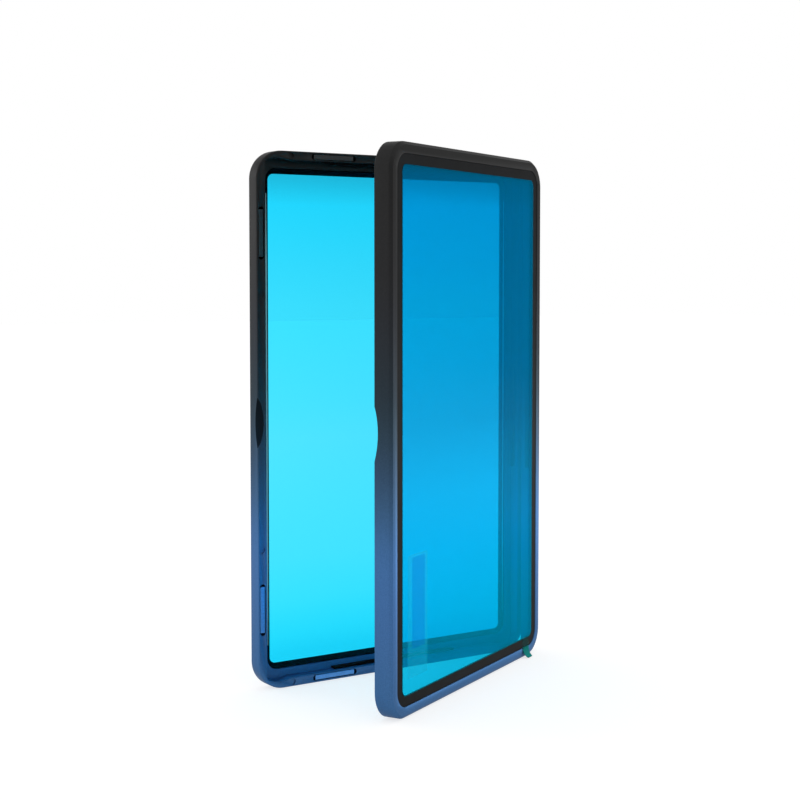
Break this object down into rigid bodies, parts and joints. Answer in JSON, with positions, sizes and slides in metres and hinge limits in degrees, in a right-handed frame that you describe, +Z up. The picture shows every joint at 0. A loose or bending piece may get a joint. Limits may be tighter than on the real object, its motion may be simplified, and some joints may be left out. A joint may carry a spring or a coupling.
{
  "type": "trading card display case",
  "caption": "Hinged metal display case for a card slab: two framed clear panels that open and close like a book, shut by magnets, standing on their lower edges.",
  "frame": {"origin": "middle of the back leaf's lower edge face, which the case stands on", "axes": "+Z up; +X along the back leaf towards the hinge; +Y out of the back leaf's outer face"},
  "size_m": [0.0904, 0.05, 0.1428],
  "materials": {
    "anodised_frame": "bead-blasted and anodised in a fade from near black at the top to steel blue at the foot",
    "black_border": "black border printed on the panel",
    "clear_panel": "polished clear acrylic",
    "blue_film": "thin glossy protective film, clear cyan",
    "magnet": "nickel-plated magnet bar",
    "soft_pad": "matt black foam",
    "black_steel": "black satin plated steel",
    "pull_tab": "thin green-teal tape, translucent",
    "tag_film": "thin clear sticker with a bluish tint"
  },
  "bodies": {
    "back_leaf": {"back_frame": "anodised_frame", "back_border": "black_border", "back_panel": "clear_panel", "back_inner_film": "blue_film", "back_outer_film": "blue_film", "back_side_magnets": "magnet", "back_end_magnets": "magnet", "back_end_pads": "soft_pad", "back_side_pad": "soft_pad", "back_hinge_leaf": "black_steel", "back_hinge_screws": "black_steel", "hinge_pin": "black_steel"},
    "front_leaf": {"front_frame": "anodised_frame", "front_border": "black_border", "front_panel": "clear_panel", "front_inner_film": "blue_film", "front_outer_film": "blue_film", "front_side_magnets": "magnet", "front_end_magnets": "magnet", "front_end_pads": "soft_pad", "front_side_pad": "soft_pad", "front_hinge_leaf": "black_steel", "front_hinge_screws": "black_steel", "film_pull_tab": "pull_tab", "film_tag": "tag_film"}
  },
  "joints": [
    {"name": "hinge", "type": "hinge", "parent": "back_leaf", "child": "front_leaf", "pos_m": [0.04435, -0.00255, 0.0714], "axis": [0, 0, 1], "range_deg": [-27.5, 152.5]}
  ]
}
